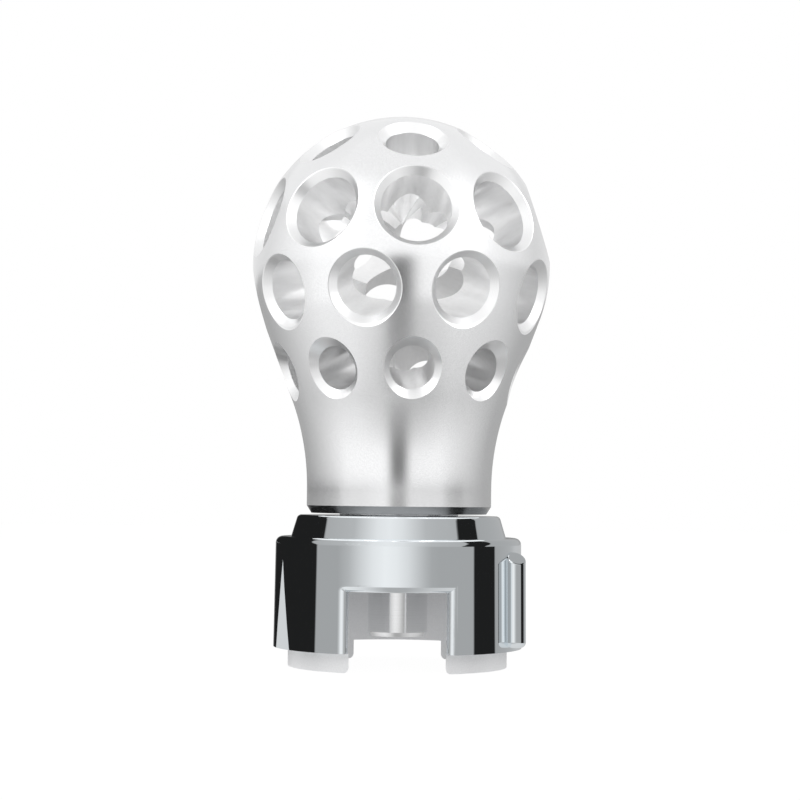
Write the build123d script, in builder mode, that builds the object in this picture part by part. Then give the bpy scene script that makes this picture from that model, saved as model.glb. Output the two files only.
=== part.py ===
"""Gear shift knob with its mounting adapter.

A drilled ball knob is screwed onto a stud. The stud stands in a cup that drops
over the end of the shift lever, and a two-tier cover hides the cup.
Millimetres, +Z up, z = 0 at the feet of the cup, -Y is the front.
"""

import os
from math import cos, hypot, radians, sin, sqrt, tan

from build123d import *

# Dimensions

# mounting cup
cup_radius = 23.45
cup_wall = 2.15
cup_plate = 2.5
cup_height = 25.4
tab_height = 4.1            # how far the tabs stand out below the cover
tab_corner = 1.0
cup_edge = 0.4
back_slot_width = 19.6

# front notch, the same in the cup and the cover
notch_width = 20.0
notch_top = 16.7
notch_round = 1.5           # rounding of the notch's outer edge, cover only

# cover
cover_clearance = 0.05      # between the cup and the cover's bore
cover_radius = 26.25        # at the step
cover_draft = 0.8           # degrees, wider towards the bottom
cover_roof = 2.2            # thickness above the cup
cover_shoulder = 1.45       # rounding at the top of the lower tier
hub_base_radius = 23.0
hub_top_radius = 21.6
hub_height = 4.6
hub_round = 1.0

# rib on the cover's side
rib_radius = 2.05
rib_axis = 28.0             # from the knob's axis, at the rib's foot
rib_azimuth = 62.0          # degrees from the front, towards +X
rib_foot = 0.9              # above the cover's bottom edge
rib_height = 18.8
rib_slope = 33.0            # slope of its cut-off top
rib_slope_azimuth = 18.0
rib_foot_round = 1.2
rib_top_round = 0.35

# stud, 1/2-13 thread above the cup
stud_diameter = 12.7
stud_foot = 6.5
stud_engagement = 19.0      # length inside the knob
stud_clearance = 0.2        # in the plain holes that it passes
stud_chamfer = 0.45
stud_chamfer_height = 0.9
stud_lead = 1.0             # chamfer where the thread begins
lever_hole_diameter = 6.8   # tapped hole for the lever's end
lever_hole_depth = 16.0
lever_hole_sink = 9.0
drill_point = 118.0

# jam nut
nut_flats = 19.05
nut_height = 6.35
nut_chamfer = 0.9
nut_sink = 0.6

# washer under the knob
washer_diameter = 25.4
washer_thickness = 0.4
washer_edge = 0.1

# knob
neck_radius = 19.75
neck_length = 5.45          # the straight part, from the knob's foot
waist_radius = 53.4         # the hollow curve between neck and taper
taper_angle = 20.6          # degrees from the axis
ball_radius = 31.75
neck_chamfer = 1.0
neck_chamfer_height = 1.6
knob_hole_sink = 0.8
knob_hole_overrun = 9.0     # its drill goes this far past the ball's centre

# bores, from the crown down: azimuth is the first one's, tilt is upwards,
# sink is the countersink's diameter where it meets the surface
crown_count, crown_azimuth, crown_tilt = 6, 6.4, 52.3
crown_bore, crown_sink = 11.1, 14.45
belt_count, belt_azimuth = 9, 5.9
upper_tilt, upper_bore, upper_sink = 18.0, 14.6, 17.6
lower_tilt, lower_bore, lower_sink = -13.3, 12.35, 15.35
taper_tilt, taper_bore, taper_sink = -17.0, 9.2, 13.2
taper_row_drop = 15.8       # its axes meet this far below the ball's centre
bore_stop = 3.0             # the side drills stop this near to the axis, in the stud's hole
sink_start = 2.0            # the countersink's cone is cut from this far outside
sink_angle = 90.0

# Derived places

cover_bottom = tab_height
cover_bore_radius = cup_radius + cover_clearance
step_z = cup_height + cover_roof
hub_top_z = step_z + hub_height
plate_underside = cup_height - cup_plate
washer_top = hub_top_z + washer_thickness

# the knob's outline, from its foot up: neck, waist, taper, ball
slope = radians(taper_angle)
waist_foot_z = washer_top + neck_length
waist_top_radius = neck_radius + waist_radius * (1 - cos(slope))
waist_top_z = waist_foot_z + waist_radius * sin(slope)
ball_foot_radius = ball_radius * cos(slope)
ball_foot_z = waist_top_z + (ball_foot_radius - waist_top_radius) / tan(slope)
ball_z = ball_foot_z + ball_radius * sin(slope)
knob_top = ball_z + ball_radius

stud_radius = stud_diameter / 2
passage_radius = stud_radius + stud_clearance
stud_top = washer_top + stud_engagement


def direction(azimuth, tilt=0.0):
    """Unit vector outward at an azimuth from the front, towards +X."""
    return Vector(
        sin(radians(azimuth)) * cos(radians(tilt)),
        -cos(radians(azimuth)) * cos(radians(tilt)),
        sin(radians(tilt)),
    )


# Centre stud

with BuildPart() as centre_stud:
    with BuildSketch(Plane.XZ):
        with BuildLine():
            Polyline(
                (0, stud_foot),
                (stud_radius - stud_chamfer, stud_foot),
                (stud_radius, stud_foot + stud_chamfer_height),
                (stud_radius, stud_top - stud_lead),
                (stud_radius - stud_lead, stud_top),
                (0, stud_top),
                close=True,
            )
        make_face()
    revolve(axis=Axis.Z)
    # tapped hole that takes the end of the shift lever
    lever_hole_radius = lever_hole_diameter / 2
    with BuildSketch(Plane.XZ):
        with BuildLine():
            Polyline(
                (0, stud_foot),
                (lever_hole_sink / 2, stud_foot),
                (lever_hole_radius, stud_foot + lever_hole_sink / 2 - lever_hole_radius),
                (lever_hole_radius, stud_foot + lever_hole_depth),
                (0, stud_foot + lever_hole_depth + lever_hole_radius / tan(radians(drill_point / 2))),
                close=True,
            )
        make_face()
    revolve(axis=Axis.Z, mode=Mode.SUBTRACT)

# Mounting cup

with BuildPart() as mounting_cup:
    with BuildSketch():
        Circle(cup_radius)
    extrude(amount=cup_height)
    with BuildSketch():
        Circle(cup_radius - cup_wall)
    extrude(amount=plate_underside, mode=Mode.SUBTRACT)
    with Locations((0, 0, cup_height)):
        Hole(passage_radius, cup_plate)
    # the front notch goes up the wall, the back one only frees the tabs
    with Locations((0, 0, notch_top)):
        Box(notch_width, cup_radius * 2, notch_top,
            align=(Align.CENTER, Align.MAX, Align.MAX), mode=Mode.SUBTRACT)
    with Locations((0, 0, tab_height)):
        Box(back_slot_width, cup_radius * 2, tab_height,
            align=(Align.CENTER, Align.MIN, Align.MAX), mode=Mode.SUBTRACT)
    tab_corners = mounting_cup.edges().filter_by(Axis.Y).group_by(Axis.Z)[0]
    fillet(tab_corners, tab_corner)
    chamfer(mounting_cup.edges().filter_by(GeomType.CIRCLE).group_by(Axis.Z)[-1]
            .sort_by(SortBy.RADIUS)[-1], cup_edge)

# Cover

with BuildPart() as cover:
    foot_radius = cover_radius + (step_z - cover_bottom) * tan(radians(cover_draft))
    with BuildSketch(Plane.XZ):
        with BuildLine():
            Polyline(
                (passage_radius, cup_height),
                (cover_bore_radius, cup_height),
                (cover_bore_radius, cover_bottom),
                (foot_radius, cover_bottom),
                (cover_radius, step_z),
                (hub_base_radius, step_z),
                (hub_top_radius, hub_top_z),
                (passage_radius, hub_top_z),
                close=True,
            )
        make_face()
    revolve(axis=Axis.Z)
    rims = cover.edges().filter_by(GeomType.CIRCLE)
    fillet(rims.filter_by(lambda e: abs(e.radius - cover_radius) < 0.01), cover_shoulder)
    fillet(rims.filter_by(lambda e: abs(e.radius - hub_top_radius) < 0.01), hub_round)
    with Locations((0, 0, notch_top)):
        Box(notch_width, cover_radius * 2, notch_top,
            align=(Align.CENTER, Align.MAX, Align.MAX), mode=Mode.SUBTRACT)
    # round the notch's outer edge, which leaves mitred corners
    notch_edges = cover.edges().filter_by(
        lambda e: e.center().Y < 0
        and abs(e.center().X) < (notch_width + cover_clearance) / 2
        and cover_bottom < e.center().Z < notch_top + cover_clearance)
    fillet(notch_edges.filter_by(lambda e: hypot(e.center().X, e.center().Y) > cover_radius),
           notch_round)
    # rib, leaning out with the wall's draft
    out = direction(rib_azimuth)
    rib_start = out * rib_axis + Vector(0, 0, cover_bottom + rib_foot)
    lean = out * -sin(radians(cover_draft)) + Vector(0, 0, cos(radians(cover_draft)))
    rib_plane = Plane(origin=rib_start, x_dir=out, z_dir=lean)
    with BuildPart(mode=Mode.PRIVATE) as rib:
        with BuildSketch(rib_plane):
            Circle(rib_radius)
        extrude(amount=rib_height + rib_radius)
        split(bisect_by=Plane(origin=rib_start + lean * rib_height,
                              z_dir=direction(rib_slope_azimuth, 90 - rib_slope)),
              keep=Keep.BOTTOM)
        fillet(rib.edges().group_by(Axis.Z)[0], rib_foot_round)
        fillet(rib.faces().sort_by(Axis.Z)[-1].edges(), rib_top_round)
    add(rib.part)

# Jam nut

with BuildPart() as jam_nut:
    nut_bottom = plate_underside - nut_height
    with BuildSketch(Plane.XY.offset(nut_bottom)):
        RegularPolygon(nut_flats / 2, 6, major_radius=False)
    extrude(amount=nut_height)
    # corners turned off at both faces
    corner_radius = nut_flats / 2 / cos(radians(30))
    with BuildSketch(Plane.XZ):
        with BuildLine():
            Polyline(
                (0, nut_bottom),
                (nut_flats / 2, nut_bottom),
                (corner_radius, nut_bottom + nut_chamfer),
                (corner_radius, plate_underside - nut_chamfer),
                (nut_flats / 2, plate_underside),
                (0, plate_underside),
                close=True,
            )
        make_face()
    revolve(axis=Axis.Z, mode=Mode.INTERSECT)
    with Locations((0, 0, plate_underside)):
        Hole(stud_radius, nut_height)
    chamfer(jam_nut.edges().filter_by(GeomType.CIRCLE)
            .filter_by(lambda e: abs(e.radius - stud_radius) < 0.01), nut_sink)

# Washer under the knob

with BuildPart() as knob_washer:
    with BuildSketch(Plane.XY.offset(hub_top_z)):
        Circle(washer_diameter / 2)
        Circle(passage_radius, mode=Mode.SUBTRACT)
    extrude(amount=washer_thickness)
    chamfer(knob_washer.edges().filter_by(GeomType.CIRCLE)
            .filter_by(lambda e: abs(e.radius - washer_diameter / 2) < 0.01), washer_edge)

# Knob

with BuildPart() as knob_body:
    with BuildSketch(Plane.XZ):
        with BuildLine():
            Polyline(
                (0, knob_top),
                (0, washer_top),
                (neck_radius - neck_chamfer, washer_top),
                (neck_radius, washer_top + neck_chamfer_height),
                (neck_radius, waist_foot_z),
            )
            RadiusArc((neck_radius, waist_foot_z), (waist_top_radius, waist_top_z), waist_radius)
            Line((waist_top_radius, waist_top_z), (ball_foot_radius, ball_foot_z))
            RadiusArc((ball_foot_radius, ball_foot_z), (0, knob_top), -ball_radius)
        make_face()
    revolve(axis=Axis.Z)

    def drilled_row(count, azimuth, tilt, centre_z, reach, bore, cone):
        """Countersunk bores in a ring, down to the stud's hole in the middle."""
        start = reach + sink_start
        cone_start = cone / 2 + sink_start * tan(radians(sink_angle / 2))
        places = []
        for i in range(count):
            out = direction(azimuth + i * 360 / count, tilt)
            places.append(Plane(origin=Vector(0, 0, centre_z) + out * start, z_dir=out))
        with Locations(*places):
            CounterSinkHole(bore / 2, cone_start, start - bore_stop, sink_angle)

    def on_ball(sink):
        """Diameter of a countersink at the ball's tangent plane."""
        sagitta = ball_radius - sqrt(ball_radius**2 - (sink / 2) ** 2)
        return sink + 2 * sagitta * tan(radians(sink_angle / 2))

    half_pitch = 180 / belt_count
    taper_row_z = ball_z - taper_row_drop
    tilt = radians(taper_tilt)
    taper_reach = ((ball_foot_radius - (ball_foot_z - taper_row_z) * tan(slope))
                   / (cos(tilt) - sin(tilt) * tan(slope)))
    drilled_row(crown_count, crown_azimuth, crown_tilt, ball_z, ball_radius,
                crown_bore, on_ball(crown_sink))
    drilled_row(belt_count, belt_azimuth, upper_tilt, ball_z, ball_radius,
                upper_bore, on_ball(upper_sink))
    drilled_row(belt_count, belt_azimuth - half_pitch, lower_tilt, ball_z, ball_radius,
                lower_bore, on_ball(lower_sink))
    drilled_row(belt_count, belt_azimuth, taper_tilt, taper_row_z, taper_reach,
                taper_bore, taper_sink)
    # hole for the stud, threaded at its foot, up to where the bores meet
    with BuildSketch(Plane.XZ):
        with BuildLine():
            Polyline(
                (0, washer_top),
                (stud_radius + knob_hole_sink, washer_top),
                (stud_radius, washer_top + knob_hole_sink),
                (stud_radius, ball_z + knob_hole_overrun),
                (0, ball_z + knob_hole_overrun),
                close=True,
            )
        make_face()
    revolve(axis=Axis.Z, mode=Mode.SUBTRACT)

# Export

centre_stud.part.label = "centre_stud"
mounting_cup.part.label = "mounting_cup"
jam_nut.part.label = "jam_nut"
cover.part.label = "cover"
knob_washer.part.label = "knob_washer"
knob_body.part.label = "knob_body"

os.makedirs("parts", exist_ok=True)
export_step(centre_stud.part, "parts/centre_stud.step")
export_step(mounting_cup.part, "parts/mounting_cup.step")
export_step(jam_nut.part, "parts/jam_nut.step")
export_step(cover.part, "parts/cover.step")
export_step(knob_washer.part, "parts/knob_washer.step")
export_step(knob_body.part, "parts/knob_body.step")
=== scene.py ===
"""Looks of a drilled gear shift knob on its chrome cover and mounting cup.

Metres, in the frame of the packed model: +Z up along the knob's axis, z = 0 at
the feet of the cup, -Y towards the front notch, +X towards the cover's rib.
"""

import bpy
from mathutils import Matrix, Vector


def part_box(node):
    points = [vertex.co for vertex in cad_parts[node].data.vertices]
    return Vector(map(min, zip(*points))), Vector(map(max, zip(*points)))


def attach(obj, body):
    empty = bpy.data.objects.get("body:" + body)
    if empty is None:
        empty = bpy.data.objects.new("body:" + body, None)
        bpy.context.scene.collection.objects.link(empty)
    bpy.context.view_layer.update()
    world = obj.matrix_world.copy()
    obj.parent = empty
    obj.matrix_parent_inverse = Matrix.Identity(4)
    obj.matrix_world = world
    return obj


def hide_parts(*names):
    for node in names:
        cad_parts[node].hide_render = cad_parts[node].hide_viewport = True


bl_info = {
    "name": "Gear shift knob",
    "version": (1, 0, 0),
    "blender": (4, 5, 0),
    "location": "3D View > Sidebar > Shift Knob",
    "description": "Drills the knob, finishes its adapter and sets a pale stage",
    "category": "Object",
}

from math import cos, pi, radians, sin, sqrt, tan

import bmesh
import bpy
from bpy.props import (
    FloatProperty,
    FloatVectorProperty,
    IntProperty,
    PointerProperty,
)

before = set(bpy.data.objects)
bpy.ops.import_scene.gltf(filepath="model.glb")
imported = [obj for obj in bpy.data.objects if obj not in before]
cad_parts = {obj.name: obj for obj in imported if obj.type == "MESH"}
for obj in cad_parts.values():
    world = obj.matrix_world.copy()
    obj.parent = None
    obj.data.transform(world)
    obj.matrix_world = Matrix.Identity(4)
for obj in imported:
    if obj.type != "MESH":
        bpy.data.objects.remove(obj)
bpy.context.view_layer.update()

MM = 0.001
knob_low, knob_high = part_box("knob_body")

RING_STEPS = 240  # sides of the turned knob
BORE_STEPS = 160  # sides of a drill or countersink
CARD_STEPS = 180  # sides of a ring of cards
DISC_STEPS = 96  # sides of a flat round sheet
CRISP_ANGLE = radians(14)  # edges that turn by more than this stay crisp

# the cutters of a countersunk bore
SINK_TIP = 0.6  # the countersink's tip, as a share of the bore's radius
BREAK_SPREAD = tan(radians(67.5))  # how fast the flat edge cutter spreads
BREAK_INSET = 1.5 * MM  # where it starts, inside the rim
IDLE_DEPTH = 0.5 * MM  # its depth where it cuts nothing

BELT_COUNT = 9  # bores in each ring but the crown's
BELT_AZIMUTH = 5.9  # degrees


# Properties


def length(title, text, default):
    """A size in metres that the panel shows."""
    return FloatProperty(name=title, description=text, default=default, unit="LENGTH", precision=5)


def angle(title, text, degrees):
    """An angle that the panel shows."""
    return FloatProperty(name=title, description=text, default=radians(degrees), unit="ROTATION")


def share(title, text, default):
    """A number from 0 to 1, or a light's strength."""
    return FloatProperty(name=title, description=text, default=default, min=0.0, precision=3)


def colour(title, text, *levels):
    """A colour; one level stands for a grey."""
    return FloatVectorProperty(
        name=title, description=text, subtype="COLOR", size=3, min=0.0, max=1.0,
        default=levels if len(levels) == 3 else levels * 3,
    )


def bore_row(title, count, azimuth, tilt, bore, sink, drop=0.0):
    """A property group for one ring of countersunk bores."""
    return type(f"{title}Row", (bpy.types.PropertyGroup,), {
        "__doc__": f"The {title.lower()} row of bores.",
        "__annotations__": {
            "count": IntProperty(name="Count", description="Bores in the ring", default=count, min=1),
            "azimuth": angle("First azimuth", "From the front towards the rib", azimuth),
            "tilt": angle("Tilt", "Upward slope of the bores", tilt),
            "bore": length("Bore", "Diameter of the drill", bore * MM),
            "sink": length("Countersink", "Its diameter at the surface", sink * MM),
            "drop": length("Drop", "How far below the ball's centre the axes meet", drop * MM),
        },
    })


CrownRow = bore_row("Crown", 6, 6.4, 52.3, 11.1, 14.45)
UpperRow = bore_row("Upper", BELT_COUNT, BELT_AZIMUTH, 18.0, 14.6, 17.6)
LowerRow = bore_row("Lower", BELT_COUNT, BELT_AZIMUTH - 180 / BELT_COUNT, -13.3, 12.35, 15.35)
TaperRow = bore_row("Taper", BELT_COUNT, BELT_AZIMUTH, -17.0, 9.2, 13.2, 15.8)


class KnobSizes(bpy.types.PropertyGroup):
    """Sizes of the turned knob."""

    ball_radius: length("Ball radius", "Radius of the drilled ball", 31.75 * MM)
    taper_angle: angle("Taper angle", "Slope of the cone below the ball, from the axis", 20.6)
    waist_radius: length("Waist radius", "Hollow curve between cone and neck", 53.4 * MM)
    neck_radius: length("Neck radius", "Radius of the neck", 19.75 * MM)
    foot_inset: length("Foot inset", "Chamfer at the neck's foot, inwards", 1.0 * MM)
    foot_rise: length("Foot rise", "Chamfer at the neck's foot, upwards", 1.6 * MM)
    stud_radius: length("Stud radius", "Hole for the stud", 6.35 * MM)
    stud_sink: length("Stud sink", "Chamfer at the stud hole's mouth", 0.8 * MM)
    stud_overrun: length("Stud overrun", "How far the hole passes the ball's centre", 9.0 * MM)
    edge_break: length("Edge break", "Width of the broken edge round a countersink", 0.16 * MM)
    drill_stop: length("Drill stop", "Where the side drills end, from the axis", 3.0 * MM)
    drill_start: length("Drill start", "How far outside the surface the drills start", 2.0 * MM)
    crown: PointerProperty(type=CrownRow)
    upper: PointerProperty(type=UpperRow)
    lower: PointerProperty(type=LowerRow)
    taper: PointerProperty(type=TaperRow)


class KnobFinish(bpy.types.PropertyGroup):
    """Finish of the knob."""

    skin: colour("Skin", "Bead-blasted, clear anodised aluminium", 0.86, 0.863, 0.87)
    skin_roughness: share("Skin roughness", "Roughness of the blasted skin", 0.2)
    grain: length("Grain", "Size of the blasted grain", 0.22 * MM)
    cut: colour("Cut", "Machined countersinks", 0.86, 0.862, 0.865)
    cut_roughness: share("Cut roughness", "Roughness of the countersinks", 0.34)
    tool_pitch: length("Tool pitch", "Distance between tool marks", 0.3 * MM)
    bore: colour("Bore", "Walls of the bores", 0.985, 0.986, 0.988)
    bore_roughness: share("Bore roughness", "Roughness of the bores", 0.3)
    bore_metal: share("Bore metal", "How metallic the anodised bores look", 0.85)
    # painted shade: this dark grey on the foot's chamfer stands in for the shade at the neck's foot
    foot: colour("Foot", "Turned chamfer at the neck's foot", 0.33, 0.333, 0.338)


class AdapterFinish(bpy.types.PropertyGroup):
    """Finishes of the cover, cup, stud and fasteners."""

    chrome: colour("Chrome", "Plating of the cover", 0.89, 0.93, 0.955)
    chrome_roughness: share("Chrome roughness", "Roughness of the plating", 0.015)
    cup: colour("Cup", "Tumbled alloy of the cup", 0.94, 0.945, 0.955)
    cup_roughness: share("Cup roughness", "Roughness of the cup", 0.42)
    cup_metal: share("Cup metal", "How metallic the tumbled cup looks", 0.7)
    steel: colour("Steel", "Turned steel of the stud", 0.93, 0.935, 0.94)
    steel_roughness: share("Steel roughness", "Roughness of the stud", 0.12)
    zinc: colour("Zinc", "Bright zinc of the nut and washer", 0.70, 0.71, 0.73)
    zinc_roughness: share("Zinc roughness", "Roughness of the zinc", 0.2)


class StageSettings(bpy.types.PropertyGroup):
    """Camera and light."""

    camera_distance: length("Camera distance", "In front of the knob's axis", 448.1 * MM)
    camera_height: length("Camera height", "Above the feet of the cup", 36.7 * MM)
    lens: FloatProperty(name="Lens", description="Focal length in millimetres", default=94.0)
    shift_x: FloatProperty(name="Shift X", description="Sideways framing", default=1 / 800)
    shift_y: FloatProperty(name="Shift Y", description="Upward framing", default=94.4 / 800)
    camera_roll: angle("Camera roll", "Leans the picture to the right", 0.63)
    tent_radius: length("Tent radius", "Of the light tent's walls", 1.2)
    card_radius: length("Card radius", "Of the low ring of cards round the cover", 60 * MM)
    card_height: length("Card height", "Of the low ring of cards", 27 * MM)
    sheet_height: length("Sheet height", "Of the level sheet whose underside the hub mirrors", 50 * MM)
    sheet_hole: length("Sheet hole", "Radius of the hole in that sheet", 30 * MM)
    top_strength: share("Top strength", "Light from above", 1.04)
    lamp_power: FloatProperty(name="Lamp power", description="Of each lamp", default=1.2, unit="POWER")


# Node helpers


def node(tree, kind, inputs=None, **settings):
    """Adds a node, with its settings and with values or links for its inputs."""
    made = tree.nodes.new(kind)
    for key, value in settings.items():
        setattr(made, key, value)
    for key, value in (inputs or {}).items():
        if isinstance(value, bpy.types.NodeSocket):
            tree.links.new(value, made.inputs[key])
        else:
            made.inputs[key].default_value = value
    return made


def calc(tree, operation, *values):
    """The result of a math node."""
    return node(tree, "ShaderNodeMath", dict(enumerate(values)), operation=operation).outputs[0]


def metal(name, tint, roughness):
    """A metal's material, its tree, its shader and its Object coordinates."""
    made = bpy.data.materials.new(name)
    made.use_nodes = True
    tree = made.node_tree
    shader = tree.nodes["Principled BSDF"]
    shader.inputs["Base Color"].default_value = (*tint, 1)
    shader.inputs["Metallic"].default_value = 1.0
    shader.inputs["Roughness"].default_value = roughness
    return made, tree, shader, node(tree, "ShaderNodeTexCoord").outputs["Object"]


def noise(tree, place, size, detail=2.0):
    """A noise value whose grain has the given size."""
    return node(tree, "ShaderNodeTexNoise",
                {"Vector": place, "Scale": 1 / size, "Detail": detail}).outputs[0]


def spread(tree, value, low, high, start=0.3, end=0.7):
    """Maps a value from start..end to low..high."""
    return node(tree, "ShaderNodeMapRange", {
        "Value": value, "From Min": start, "From Max": end, "To Min": low, "To Max": high,
    }).outputs[0]


def tinted(tree, shader, value, tint, dark):
    """Varies the colour between the tint and a darker share of it."""
    mix = node(tree, "ShaderNodeMix", data_type="RGBA")
    mix.inputs["A"].default_value = (*(dark * level for level in tint), 1)
    mix.inputs["B"].default_value = (*tint, 1)
    tree.links.new(value, mix.inputs["Factor"])
    tree.links.new(mix.outputs["Result"], shader.inputs["Base Color"])


def rough(tree, shader, value):
    """Feeds the roughness."""
    tree.links.new(value, shader.inputs["Roughness"])


def relief(tree, shader, height, depth, strength):
    """Adds bump of a given depth."""
    bump = node(tree, "ShaderNodeBump", {"Height": height, "Distance": depth, "Strength": strength})
    tree.links.new(bump.outputs[0], shader.inputs["Normal"])


def height_of(tree, place):
    """The height of each point above the feet of the cup."""
    return node(tree, "ShaderNodeSeparateXYZ", {0: place}).outputs["Z"]


def on_axis(tree, height):
    """The point of the knob's axis at a height."""
    return node(tree, "ShaderNodeCombineXYZ", {"Z": height}).outputs[0]


# Materials


def blasted_skin(finish):
    """Bead-blasted aluminium: even fine grain under a clear anodised film."""
    made, tree, shader, place = metal("blasted_skin", finish.skin, finish.skin_roughness)
    grain = noise(tree, place, finish.grain, detail=3.0)
    cloud = noise(tree, place, size=9 * MM, detail=3.0)
    tinted(tree, shader, spread(tree, grain, 0.0, 1.0), finish.skin, dark=0.9)
    rough(tree, shader, calc(tree, "ADD", finish.skin_roughness, spread(tree, cloud, -0.012, 0.012)))
    relief(tree, shader, grain, depth=0.006 * MM, strength=0.8)
    return made


def machined_sink(finish, ball_z, taper_z):
    """Countersinks: fine rings left by the cutter, round each bore's axis.

    A ring round an axis lies at one distance from the point where the axes of
    its row meet, so the distance alone gives the rings. The rows of the ball
    meet at its centre. The taper's row meets at taper_z and lies wholly below.
    """
    made, tree, shader, place = metal("machined_sink", finish.cut, finish.cut_roughness)
    taper = calc(tree, "LESS_THAN", height_of(tree, place), taper_z)
    drop = calc(tree, "MULTIPLY", taper, ball_z - taper_z)
    centre = on_axis(tree, calc(tree, "SUBTRACT", ball_z, drop))
    away = node(tree, "ShaderNodeVectorMath", {0: place, 1: centre}, operation="DISTANCE")
    wander = spread(tree, noise(tree, place, size=2 * MM), -0.15, 0.15)
    turns = calc(tree, "ADD", calc(tree, "DIVIDE", away.outputs["Value"], finish.tool_pitch), wander)
    rings = calc(tree, "SINE", calc(tree, "MULTIPLY", turns, 2 * pi))
    chatter = calc(tree, "SINE", calc(tree, "MULTIPLY", turns, 5.3 * pi))
    marks = calc(tree, "ADD", rings, calc(tree, "MULTIPLY", chatter, 0.5))
    tinted(tree, shader, spread(tree, marks, 0.0, 1.0, start=-1.5, end=1.5), finish.cut, dark=0.95)
    relief(tree, shader, marks, depth=0.0012 * MM, strength=0.6)
    return made


def drilled_wall(finish, ball_z):
    """Bore walls: reamed smooth, with faint streaks along the bore."""
    made, tree, shader, place = metal("drilled_wall", finish.bore, finish.bore_roughness)
    centre = on_axis(tree, ball_z)
    out = node(tree, "ShaderNodeVectorMath", {0: place, 1: centre}, operation="SUBTRACT").outputs[0]
    way = node(tree, "ShaderNodeVectorMath", {0: out}, operation="NORMALIZE").outputs[0]
    # on directions a size is in radians
    streaks = noise(tree, way, size=0.03, detail=1.0)
    tinted(tree, shader, spread(tree, streaks, 0.0, 1.0), finish.bore, dark=0.95)
    shader.inputs["Metallic"].default_value = finish.bore_metal
    return made


def painted_shade_foot(finish):
    """The chamfer at the neck's foot, turned after blasting."""
    made, tree, shader, place = metal("painted_shade_foot", finish.foot, finish.skin_roughness)
    rings = noise(tree, on_axis(tree, height_of(tree, place)), size=0.2 * MM)
    tinted(tree, shader, spread(tree, rings, 0.0, 1.0), finish.foot, dark=0.9)
    return made


def chrome_plate(finish):
    """Mirror chrome with the slightest waviness of a polished casting."""
    made, tree, shader, place = metal("chrome_plate", finish.chrome, finish.chrome_roughness)
    wave = noise(tree, place, size=14 * MM, detail=1.0)
    haze = noise(tree, place, size=3 * MM, detail=3.0)
    smooth = finish.chrome_roughness
    rough(tree, shader, spread(tree, haze, 0.6 * smooth, 1.6 * smooth))
    relief(tree, shader, wave, depth=0.004 * MM, strength=0.25)
    return made


def tumbled_alloy(finish):
    """Matt cast alloy with the fine pits of tumbling."""
    made, tree, shader, place = metal("tumbled_alloy", finish.cup, finish.cup_roughness)
    pits = noise(tree, place, size=0.3 * MM, detail=4.0)
    cloud = noise(tree, place, size=4 * MM, detail=3.0)
    shader.inputs["Metallic"].default_value = finish.cup_metal
    tinted(tree, shader, spread(tree, pits, 0.0, 1.0), finish.cup, dark=0.93)
    rough(tree, shader, calc(tree, "ADD", finish.cup_roughness, spread(tree, cloud, -0.03, 0.03)))
    relief(tree, shader, pits, depth=0.01 * MM, strength=0.7)
    return made


def turned_steel(finish):
    """Steel turned on a lathe: fine rings up the stud."""
    made, tree, shader, place = metal("turned_steel", finish.steel, finish.steel_roughness)
    rings = noise(tree, on_axis(tree, height_of(tree, place)), size=0.18 * MM, detail=3.0)
    tinted(tree, shader, spread(tree, rings, 0.0, 1.0), finish.steel, dark=0.88)
    relief(tree, shader, rings, depth=0.002 * MM, strength=0.6)
    return made


def bright_zinc(finish):
    """Bright zinc plating with a faint cloudy bloom."""
    made, tree, shader, place = metal("bright_zinc", finish.zinc, finish.zinc_roughness)
    bloom = noise(tree, place, size=2.5 * MM, detail=4.0)
    ripple = noise(tree, place, size=0.5 * MM)
    tinted(tree, shader, spread(tree, bloom, 0.0, 1.0), finish.zinc, dark=0.85)
    rough(tree, shader, spread(tree, bloom, finish.zinc_roughness, 1.5 * finish.zinc_roughness))
    relief(tree, shader, ripple, depth=0.002 * MM, strength=0.5)
    return made


# The knob


def knob_profile(knob, top, foot):
    """Half section of the undrilled knob, from the stud hole round to the crown.

    Gives (radius, height) pairs, and how many of them belong to the stud hole.
    """
    slope = knob.taper_angle
    ball_z = top - knob.ball_radius
    ball_foot = (knob.ball_radius * cos(slope), ball_z - knob.ball_radius * sin(slope))
    waist_top = knob.neck_radius + knob.waist_radius * (1 - cos(slope))
    waist_top_z = ball_foot[1] - (ball_foot[0] - waist_top) / tan(slope)
    waist_foot_z = waist_top_z - knob.waist_radius * sin(slope)
    hole_top = ball_z + knob.stud_overrun
    points = [
        (0.0, hole_top),
        (knob.stud_radius, hole_top),
        (knob.stud_radius, foot + knob.stud_sink),
        (knob.stud_radius + knob.stud_sink, foot),
    ]
    hole_points = len(points)
    neck_foot = foot + knob.foot_rise
    points += [(knob.neck_radius - knob.foot_inset, foot), (knob.neck_radius, neck_foot)]
    neck_steps, waist_steps, cone_steps, ball_steps = 8, 16, 12, 96
    for i in range(1, neck_steps + 1):
        points.append((knob.neck_radius, neck_foot + (waist_foot_z - neck_foot) * i / neck_steps))
    for i in range(1, waist_steps + 1):
        bend = slope * i / waist_steps
        points.append((knob.neck_radius + knob.waist_radius * (1 - cos(bend)),
                       waist_foot_z + knob.waist_radius * sin(bend)))
    for i in range(1, cone_steps + 1):
        along = i / cone_steps
        points.append((waist_top + (ball_foot[0] - waist_top) * along,
                       waist_top_z + (ball_foot[1] - waist_top_z) * along))
    for i in range(1, ball_steps):
        lift = -slope + (pi / 2 + slope) * i / ball_steps
        points.append((knob.ball_radius * cos(lift), ball_z + knob.ball_radius * sin(lift)))
    points.append((0.0, top))
    return points, hole_points, ball_foot


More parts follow.
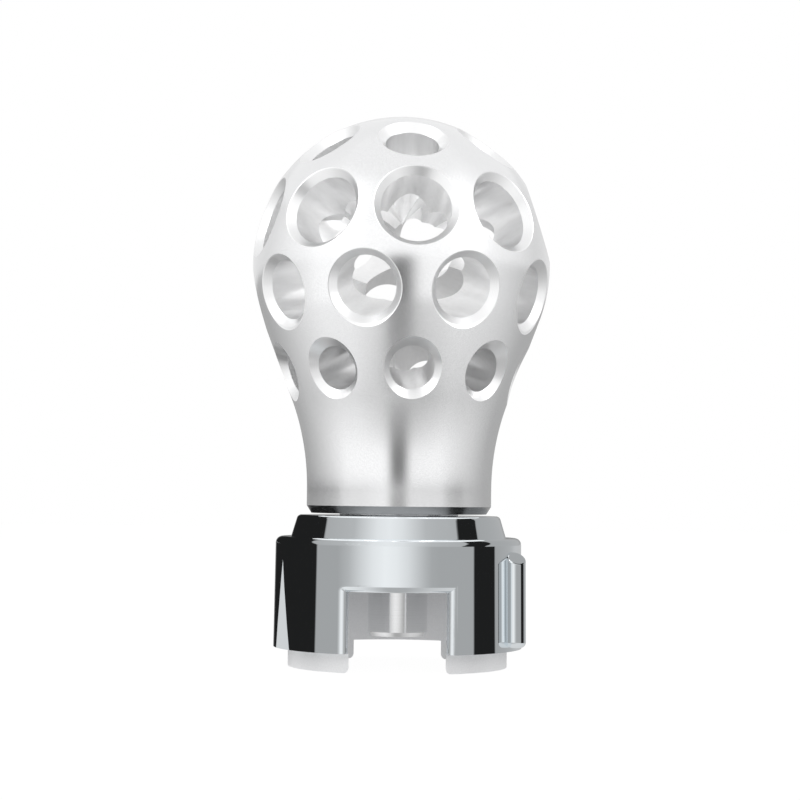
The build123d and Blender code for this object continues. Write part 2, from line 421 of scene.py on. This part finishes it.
def turned(name, profile, steps, inner=0, materials=()):
    """Spins a half section round the Z axis into a mesh.

    The first inner bands of the section take the second material, and the
    band after the flat foot takes the fourth.
    """
    mesh = bpy.data.meshes.new(name)
    shape = bmesh.new()
    rings = []
    for radius, height in profile:
        count = steps if radius > 0 else 1
        rings.append([shape.verts.new((radius * sin(2 * pi * k / steps),
                                       -radius * cos(2 * pi * k / steps), height))
                      for k in range(count)])
    for band, (low, high) in enumerate(zip(rings, rings[1:])):
        for k in range(steps):
            corners = [low[k % len(low)], low[(k + 1) % len(low)],
                       high[(k + 1) % len(high)], high[k % len(high)]]
            face = shape.faces.new(dict.fromkeys(corners))
            face.material_index = 1 if band < inner else 3 if inner and band == inner + 1 else 0
    bmesh.ops.recalc_face_normals(shape, faces=shape.faces)
    shape.to_mesh(mesh)
    shape.free()
    for material in materials:
        mesh.materials.append(material)
    made = bpy.data.objects.new(name, mesh)
    bpy.context.scene.collection.objects.link(made)
    return made


ROW_INPUTS = {
    "Count": "Int", "First Azimuth": "Float", "Tilt": "Float", "Centre Height": "Float",
    "Bore Radius": "Float", "Bore Start": "Float", "Bore Length": "Float",
    "Sink Start": "Float", "Sink Foot": "Float", "Sink Mouth": "Float", "Sink Depth": "Float",
    "Break Start": "Float", "Break Foot": "Float", "Break Mouth": "Float", "Break Depth": "Float",
}


def drilled_row_tree(sink_finish, wall_finish):
    """Geometry Nodes that cut one ring of countersunk bores, evenly spaced.

    A drill, a countersink and an edge cutter stand along +Z. Copies of them
    are turned to each bore's azimuth and tilt and cut away from the knob.
    """
    tree = bpy.data.node_groups.new("drilled_row", "GeometryNodeTree")
    tree.interface.new_socket("Geometry", in_out="INPUT", socket_type="NodeSocketGeometry")
    tree.interface.new_socket("Geometry", in_out="OUTPUT", socket_type="NodeSocketGeometry")
    sockets = {name: tree.interface.new_socket(
        name, in_out="INPUT", socket_type=f"NodeSocket{kind}").identifier
        for name, kind in ROW_INPUTS.items()}
    given = node(tree, "NodeGroupInput").outputs

    centre = node(tree, "ShaderNodeCombineXYZ", {"Z": given["Centre Height"]}).outputs[0]
    points = node(tree, "GeometryNodePoints", {"Count": given["Count"], "Position": centre}).outputs[0]
    index = node(tree, "GeometryNodeInputIndex").outputs[0]
    pitch = calc(tree, "DIVIDE", 2 * pi, given["Count"])
    azimuth = calc(tree, "ADD", given["First Azimuth"], calc(tree, "MULTIPLY", index, pitch))
    lean = calc(tree, "SUBTRACT", pi / 2, given["Tilt"])
    turn = node(tree, "ShaderNodeCombineXYZ", {"X": lean, "Z": azimuth}).outputs[0]

    drill = node(tree, "GeometryNodeMeshCylinder", {
        "Vertices": BORE_STEPS, "Radius": given["Bore Radius"], "Depth": given["Bore Length"],
    }).outputs["Mesh"]
    half = calc(tree, "DIVIDE", given["Bore Length"], 2.0)
    cutters = [(drill, calc(tree, "ADD", given["Bore Start"], half), wall_finish)]
    for tool in ("Sink", "Break"):
        cone = node(tree, "GeometryNodeMeshCone", {
            "Vertices": BORE_STEPS, "Radius Bottom": given[f"{tool} Foot"],
            "Radius Top": given[f"{tool} Mouth"], "Depth": given[f"{tool} Depth"]}).outputs["Mesh"]
        cutters.append((cone, given[f"{tool} Start"], sink_finish))

    cut = node(tree, "GeometryNodeMeshBoolean", {"Mesh 1": given["Geometry"]},
               operation="DIFFERENCE", solver="MANIFOLD")
    for cutter, start, finish in cutters:
        lift = node(tree, "ShaderNodeCombineXYZ", {"Z": start}).outputs[0]
        raised = node(tree, "GeometryNodeTransform", {"Geometry": cutter, "Translation": lift})
        faced = node(tree, "GeometryNodeSetMaterial", {
            "Geometry": raised.outputs[0], "Material": finish}).outputs[0]
        copies = node(tree, "GeometryNodeInstanceOnPoints", {
            "Points": points, "Instance": faced, "Rotation": turn}).outputs[0]
        tree.links.new(copies, cut.inputs["Mesh 2"])
    whole = node(tree, "GeometryNodeRealizeInstances", {"Geometry": cut.outputs["Mesh"]}).outputs[0]
    sunk = node(tree, "GeometryNodeMaterialSelection", {"Material": sink_finish}).outputs[0]
    coated = node(tree, "GeometryNodeSetMaterial", {
        "Geometry": whole, "Selection": sunk, "Material": sink_finish}).outputs[0]
    node(tree, "NodeGroupOutput", {"Geometry": coated})
    return tree, sockets


def drill_row(piece, tree, sockets, knob, row, ball_z, reach):
    """Adds the modifier that cuts one row."""
    sink_radius, bore_radius = row.sink / 2, row.bore / 2
    if row.drop > 0:
        sink_reach, edge = reach, 0.0
    else:
        # the rim lies on the ball, below the plane that touches it at the axis
        sink_reach, edge = sqrt(reach**2 - sink_radius**2), knob.edge_break
    mouth = reach + knob.drill_start
    # the countersink spreads as fast as it deepens
    sink_foot = SINK_TIP * bore_radius
    sink_start = sink_reach - (sink_radius - sink_foot)
    sink_mouth = sink_radius + mouth - sink_reach
    # the edge cutter is flatter and just bites off the rim
    break_foot = sink_radius - BREAK_INSET
    break_start = sink_reach - (sink_radius + edge - break_foot) / BREAK_SPREAD
    break_depth = mouth - break_start if edge else IDLE_DEPTH
    values = {
        "Count": row.count, "First Azimuth": row.azimuth, "Tilt": row.tilt,
        "Centre Height": ball_z - row.drop, "Bore Radius": bore_radius,
        "Bore Start": knob.drill_stop, "Bore Length": mouth - knob.drill_stop,
        "Sink Start": sink_start, "Sink Foot": sink_foot, "Sink Mouth": sink_mouth,
        "Sink Depth": mouth - sink_start,
        "Break Start": break_start if edge else mouth, "Break Foot": break_foot,
        "Break Mouth": break_foot + break_depth * BREAK_SPREAD, "Break Depth": break_depth,
    }
    modifier = piece.modifiers.new(row.bl_rna.identifier, "NODES")
    modifier.node_group = tree
    for name, value in values.items():
        modifier[sockets[name]] = value


def settled(piece):
    """Turns a piece with modifiers into a plain smooth mesh with crisp edges."""
    graph = bpy.context.evaluated_depsgraph_get()
    mesh = bpy.data.meshes.new_from_object(piece.evaluated_get(graph))
    piece.modifiers.clear()
    piece.data = mesh
    mesh.shade_smooth()
    mesh.set_sharp_from_angle(angle=CRISP_ANGLE)


def drilled_knob(knob, finish):
    """The knob: a turned blank, four rows of countersunk bores, four finishes."""
    top, foot = knob_high.z, knob_low.z
    profile, hole_points, ball_foot = knob_profile(knob, top, foot)
    ball_z = top - knob.ball_radius
    taper_z = ball_z - knob.taper.drop
    skin = blasted_skin(finish)
    wall = drilled_wall(finish, ball_z)
    sink = machined_sink(finish, ball_z, taper_z)
    piece = turned("drilled_knob", profile, RING_STEPS, hole_points - 1,
                   (skin, wall, sink, painted_shade_foot(finish)))
    tree, sockets = drilled_row_tree(sink, wall)
    tilt, slope = knob.taper.tilt, knob.taper_angle
    cone_radius = ball_foot[0] - (ball_foot[1] - taper_z) * tan(slope)
    taper_reach = cone_radius / (cos(tilt) - sin(tilt) * tan(slope))
    for row in (knob.crown, knob.upper, knob.lower, knob.taper):
        reach = taper_reach if row.drop > 0 else knob.ball_radius
        drill_row(piece, tree, sockets, knob, row, ball_z, reach)
    settled(piece)
    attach(piece, "root")
    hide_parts("knob_body")


def dress(name, material):
    """Gives a packed node its material."""
    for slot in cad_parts[name].material_slots:
        slot.material = material


# The stage


def shown(thing, camera=True, diffuse=True, shadow=True):
    """Says which rays meet a stage piece, besides reflections."""
    thing.visible_camera = camera
    thing.visible_diffuse = diffuse
    thing.visible_shadow = shadow


def glowing(name):
    """A material with an empty tree, for lights and stage pieces."""
    made = bpy.data.materials.new(name)
    made.use_nodes = True
    made.node_tree.nodes.clear()
    return made, made.node_tree


def grey_round(tree, stops):
    """A grey that follows the azimuth, given in degrees from the front."""
    place = node(tree, "ShaderNodeTexCoord").outputs["Object"]
    split = node(tree, "ShaderNodeSeparateXYZ", {0: place}).outputs
    back = calc(tree, "MULTIPLY", split["Y"], -1.0)
    azimuth = calc(tree, "ARCTAN2", split["X"], back)
    around = calc(tree, "ADD", calc(tree, "DIVIDE", azimuth, 2 * pi), 0.5)
    ramp = node(tree, "ShaderNodeValToRGB", {"Fac": around})
    bands = ramp.color_ramp.elements
    while len(bands) < len(stops):
        bands.new(1.0)
    for band, (degrees, grey) in zip(bands, stops):
        band.position = degrees / 360 + 0.5
        band.color = (grey, grey, grey, 1)
    return ramp.outputs["Color"]


def light_card(name, stops=None, strength=1.0, one_sided=False):
    """A glowing material, in one white or in greys round the object.

    A one-sided card is clear to what looks down on it.
    """
    made, tree = glowing(name)
    glow = node(tree, "ShaderNodeEmission", {"Strength": strength})
    if stops:
        tree.links.new(grey_round(tree, stops), glow.inputs["Color"])
    surface = glow.outputs[0]
    if one_sided:
        below = node(tree, "ShaderNodeNewGeometry").outputs["Backfacing"]
        clear = node(tree, "ShaderNodeBsdfTransparent").outputs[0]
        surface = node(tree, "ShaderNodeMixShader", {0: below, 1: clear, 2: surface}).outputs[0]
    node(tree, "ShaderNodeOutputMaterial", {"Surface": surface})
    return made


def card_ring(name, foot, head, stops, strength=1.0, one_sided=False, diffuse=True):
    """Light and dark cards round the object, between two (radius, height)."""
    card = light_card(name, stops, strength, one_sided)
    shown(turned(name, [foot, head], CARD_STEPS, materials=(card,)),
          camera=False, diffuse=diffuse, shadow=False)


def light_spike(radius):
    """A narrow pale triangle in front of the dark card, as the chrome shows it."""
    mesh = bpy.data.meshes.new("light_spike")
    mesh.from_pydata([(radius * sin(radians(turn)), -radius * cos(radians(turn)), rise * MM)
                      for turn, rise in SPIKE_CORNERS], [], [(0, 1, 2)])
    mesh.materials.append(light_card("light_spike", strength=SPIKE_STRENGTH))
    spike = bpy.data.objects.new("light_spike", mesh)
    bpy.context.scene.collection.objects.link(spike)
    shown(spike, camera=False, diffuse=False, shadow=False)


def disc(name, radius, height, material):
    """A flat round sheet."""
    return turned(name, [(radius, height), (0.0, height)], DISC_STEPS, materials=(material,))


def looked_at(tree):
    """1 where the camera, a mirror or glass looks, and 0 for what lights the object."""
    path = node(tree, "ShaderNodeLightPath").outputs
    mirrored = calc(tree, "MAXIMUM", path["Is Glossy Ray"], path["Is Transmission Ray"])
    return calc(tree, "MAXIMUM", path["Is Camera Ray"], mirrored)


def pale_floor():
    """White to the camera, in greys when reflected, with a faint shadow."""
    made, tree = glowing("pale_floor")
    faint = node(tree, "ShaderNodeBsdfDiffuse", {"Color": (FLOOR_TINT, FLOOR_TINT, FLOOR_TINT, 1)})
    bright = spread(tree, looked_at(tree), FLOOR_LIGHT, FLOOR_WHITE, start=0.0, end=1.0)
    glow = node(tree, "ShaderNodeEmission", {"Strength": bright})
    lit = node(tree, "ShaderNodeAddShader", {0: faint.outputs[0], 1: glow.outputs[0]}).outputs[0]
    # what metal sees of it: painted shade in greys round the object near it, darkest in front, and the
    # eye cards' greys further out
    place = node(tree, "ShaderNodeTexCoord").outputs["Object"]
    radius = node(tree, "ShaderNodeVectorMath", {0: place}, operation="LENGTH").outputs["Value"]
    far = spread(tree, radius, 0.0, 1.0, start=FLOOR_NEAR, end=FLOOR_FAR)
    near_grey = node(tree, "ShaderNodeEmission", {"Color": grey_round(tree, FLOOR_GREYS)}).outputs[0]
    far_grey = node(tree, "ShaderNodeEmission", {
        "Color": grey_round(tree, EYE_CARDS), "Strength": EYE_STRENGTH}).outputs[0]
    greys = node(tree, "ShaderNodeMixShader", {0: far, 1: near_grey, 2: far_grey}).outputs[0]
    glossy = node(tree, "ShaderNodeLightPath").outputs["Is Glossy Ray"]
    mixed = node(tree, "ShaderNodeMixShader", {0: glossy, 1: lit, 2: greys}).outputs[0]
    node(tree, "ShaderNodeOutputMaterial", {"Surface": mixed})
    return made


def white_world():
    """White behind the object and in its reflections, and dimmer as a light."""
    world = bpy.data.worlds.new("white_world")
    world.use_nodes = True
    tree = world.node_tree
    tree.nodes.clear()
    strength = spread(tree, looked_at(tree), WORLD_LIGHT, 1.0, start=0.0, end=1.0)
    glow = node(tree, "ShaderNodeBackground", {"Color": (1, 1, 1, 1), "Strength": strength})
    node(tree, "ShaderNodeOutputWorld", {"Surface": glow.outputs[0]})
    bpy.context.scene.world = world


# degrees from the front, and the grey of the card there
LOW_CARDS = (
    (-179, 0.34), (-155, 0.16), (-139, 0.16), (-137, 0.014), (-64.4, 0.014), (-63.4, 0.385),
    (-45, 0.385), (-36, 0.48), (-27, 0.665), (-18, 0.83), (-9, 0.91), (-1, 0.865), (7, 0.745), (15, 0.57),
    (20, 0.47), (24, 0.41), (30, 0.39), (57.8, 0.389), (58.8, 0.014), (80.2, 0.014), (81.2, 0.37),
    (104, 0.44), (118, 0.53), (150, 0.52), (179, 0.34),
)
SHEET_GREYS = (
    (-179, 0.25), (-160, 0.014), (-77, 0.014), (-75.5, 0.42), (-42, 0.485), (-30, 0.655), (-19, 0.815),
    (-8, 0.868), (3, 0.793), (14, 0.64), (25, 0.50), (36, 0.467), (57, 0.444), (58, 0.014),
    (83, 0.014), (84.5, 0.39), (150, 0.45), (179, 0.25),
)
EYE_CARDS = (
    (-179, 0.35), (-146, 0.37), (-122, 0.47), (-104, 0.59), (-90, 0.71), (-77, 0.84), (-65, 0.97),
    (-15, 1.0), (-7, 0.12), (4, 0.12), (14, 0.92), (46, 0.96), (57, 0.88), (68, 0.79), (80, 0.71),
    (93, 0.62), (108, 0.51), (127, 0.40), (179, 0.35),
)
MID_CARDS = (
    (-179, 0.75), (-122, 0.70), (-90, 0.90), (-65, 1.0), (55, 1.0), (90, 0.85), (122, 0.65),
    (179, 0.75),
)
HIGH_CARDS = (
    (-179, 0.85), (-110, 0.88), (-80, 1.0), (80, 1.0), (110, 0.88), (179, 0.85),
)
# painted shade: the white floor's greys as metal sees them, darker in front of and behind the object
FLOOR_GREYS = (
    (-179, 0.42), (-110, 0.50), (-75, 0.78), (-45, 0.90), (-25, 0.72), (-8, 0.43), (6, 0.43),
    (25, 0.59), (50, 0.71), (80, 0.65), (110, 0.47), (179, 0.42),
)

LOW_CARD_FOOT = 0.4 * MM
SHEET_REACH = 0.95  # the sheet's outer radius, as a share of the tent's
EYE_TOP, MID_TOP, HIGH_TOP = 6.5, 30, 62  # degrees up from the feet, where each row of cards ends
EYE_STRENGTH, MID_STRENGTH, HIGH_STRENGTH = 1.2, 1.2, 1.15
SPIKE_CORNERS = ((-126, 0.3), (-94.5, 0.3), (-112, 21.8))  # degrees from the front, height in mm
SPIKE_REACH = 0.985  # as a share of the low cards' radius, so that it stands in front of them
SPIKE_STRENGTH = 0.68
FLOOR_REACH = 1.5  # as a share of the tent's radius
FLOOR_TINT = 0.03  # of its surface, which takes the shadow
FLOOR_WHITE, FLOOR_LIGHT = 0.98, 0.75  # its glow where it is looked at, and as a light
FLOOR_NEAR, FLOOR_FAR = 95 * MM, 200 * MM  # between them its mirrored greys change
WORLD_LIGHT = 0.7
LAMP_SIZE = (0.25, 0.5)
LAMP_PLACE = (0.55, -0.42, 0.5)
LAMP_LEAN, LAMP_TURN = radians(58), radians(52)


def set_stage(stage):
    """Camera, pale floor, white world, light tent with its cards, and lamps."""
    scene = bpy.context.scene
    scene.view_settings.view_transform = "Standard"
    lens = bpy.data.cameras.new("photo_camera")
    lens.lens, lens.sensor_width = stage.lens, 36.0
    lens.shift_x, lens.shift_y = stage.shift_x, stage.shift_y
    lens.clip_start, lens.clip_end = 0.01, 20.0
    camera = bpy.data.objects.new("photo_camera", lens)
    camera.location = (0.0, -stage.camera_distance, stage.camera_height)
    camera.rotation_euler = (pi / 2, -stage.camera_roll, 0.0)
    scene.collection.objects.link(camera)
    scene.camera = camera

    white_world()
    wide, near, sheet = stage.tent_radius, stage.card_radius, stage.sheet_height
    shown(disc("floor", FLOOR_REACH * wide, 0.0, pale_floor()))
    eye_top, mid_top, roof = (wide * tan(radians(rise)) for rise in (EYE_TOP, MID_TOP, HIGH_TOP))
    # seen in reflections only
    card_ring("low_cards", (near, LOW_CARD_FOOT), (near, stage.card_height), LOW_CARDS, diffuse=False)
    card_ring("dark_sheet", (stage.sheet_hole, sheet), (SHEET_REACH * wide, sheet), SHEET_GREYS,
              one_sided=True, diffuse=False)
    light_spike(SPIKE_REACH * near)
    # the light tent
    card_ring("eye_cards", (wide, 0.0), (wide, eye_top), EYE_CARDS, EYE_STRENGTH)
    card_ring("mid_cards", (wide, eye_top), (wide, mid_top), MID_CARDS, MID_STRENGTH)
    card_ring("high_cards", (wide, mid_top), (wide, roof), HIGH_CARDS, HIGH_STRENGTH)
    top = disc("top_light", wide, roof, light_card("top_light", strength=stage.top_strength))
    shown(top, camera=False, shadow=False)

    across, ahead, up = LAMP_PLACE
    for name, side in (("soft_lamp_left", -1), ("soft_lamp_right", 1)):
        lamp = bpy.data.lights.new(name, "AREA")
        lamp.shape = "RECTANGLE"
        lamp.size, lamp.size_y = LAMP_SIZE
        lamp.energy = stage.lamp_power
        holder = bpy.data.objects.new(name, lamp)
        holder.location = (side * across, ahead, up)
        holder.rotation_euler = (LAMP_LEAN, 0.0, side * LAMP_TURN)
        scene.collection.objects.link(holder)


# Operators


class KNOB_OT_drill(bpy.types.Operator):
    """Turn and drill the knob"""

    bl_idname = "shift_knob.drill"
    bl_label = "Drilled knob"

    def execute(self, context):
        drilled_knob(context.scene.knob_sizes, context.scene.knob_finish)
        return {"FINISHED"}


class KNOB_OT_plate_cover(bpy.types.Operator):
    """Plate the cover with chrome"""

    bl_idname = "shift_knob.plate_cover"
    bl_label = "Chrome cover"

    def execute(self, context):
        dress("cover", chrome_plate(context.scene.adapter_finish))
        return {"FINISHED"}


class KNOB_OT_tumble_cup(bpy.types.Operator):
    """Give the mounting cup its matt alloy finish"""

    bl_idname = "shift_knob.tumble_cup"
    bl_label = "Mounting cup"

    def execute(self, context):
        dress("mounting_cup", tumbled_alloy(context.scene.adapter_finish))
        return {"FINISHED"}


class KNOB_OT_fasten(bpy.types.Operator):
    """Finish the stud, the jam nut and the washer"""

    bl_idname = "shift_knob.fasten"
    bl_label = "Stud, nut and washer"

    def execute(self, context):
        finish = context.scene.adapter_finish
        dress("centre_stud", turned_steel(finish))
        zinc = bright_zinc(finish)
        dress("jam_nut", zinc)
        dress("knob_washer", zinc)
        return {"FINISHED"}


class KNOB_OT_set_stage(bpy.types.Operator):
    """Set the camera, the floor and the light"""

    bl_idname = "shift_knob.set_stage"
    bl_label = "Stage"

    def execute(self, context):
        set_stage(context.scene.stage_settings)
        return {"FINISHED"}


class KNOB_PT_panel(bpy.types.Panel):
    """Sizes, finishes and steps of the shift knob"""

    bl_label = "Shift Knob"
    bl_idname = "KNOB_PT_panel"
    bl_space_type = "VIEW_3D"
    bl_region_type = "UI"
    bl_category = "Shift Knob"

    def draw(self, context):
        scene = context.scene
        for group in (scene.knob_sizes, scene.knob_finish, scene.adapter_finish, scene.stage_settings):
            box = self.layout.box()
            for name in group.__annotations__:
                box.prop(group, name)
        for step in STEPS:
            self.layout.operator(step.bl_idname)


STEPS = (KNOB_OT_set_stage, KNOB_OT_drill, KNOB_OT_plate_cover, KNOB_OT_tumble_cup, KNOB_OT_fasten)
GROUPS = {"knob_sizes": KnobSizes, "knob_finish": KnobFinish,
          "adapter_finish": AdapterFinish, "stage_settings": StageSettings}
CLASSES = (CrownRow, UpperRow, LowerRow, TaperRow, *GROUPS.values(), *STEPS, KNOB_PT_panel)


def register():
    """Register the classes and hang the properties on the scene."""
    for one in CLASSES:
        bpy.utils.register_class(one)
    for name, group in GROUPS.items():
        setattr(bpy.types.Scene, name, PointerProperty(type=group))


def unregister():
    """Take the properties and classes away again."""
    for name in GROUPS:
        delattr(bpy.types.Scene, name)
    for one in reversed(CLASSES):
        bpy.utils.unregister_class(one)


def main():
    """Build everything in order and write the two boxes."""
    register()
    bpy.ops.shift_knob.set_stage()
    bpy.ops.shift_knob.drill()
    bpy.ops.shift_knob.plate_cover()
    bpy.ops.shift_knob.tumble_cup()
    bpy.ops.shift_knob.fasten()


if __name__ == "__main__":
    main()
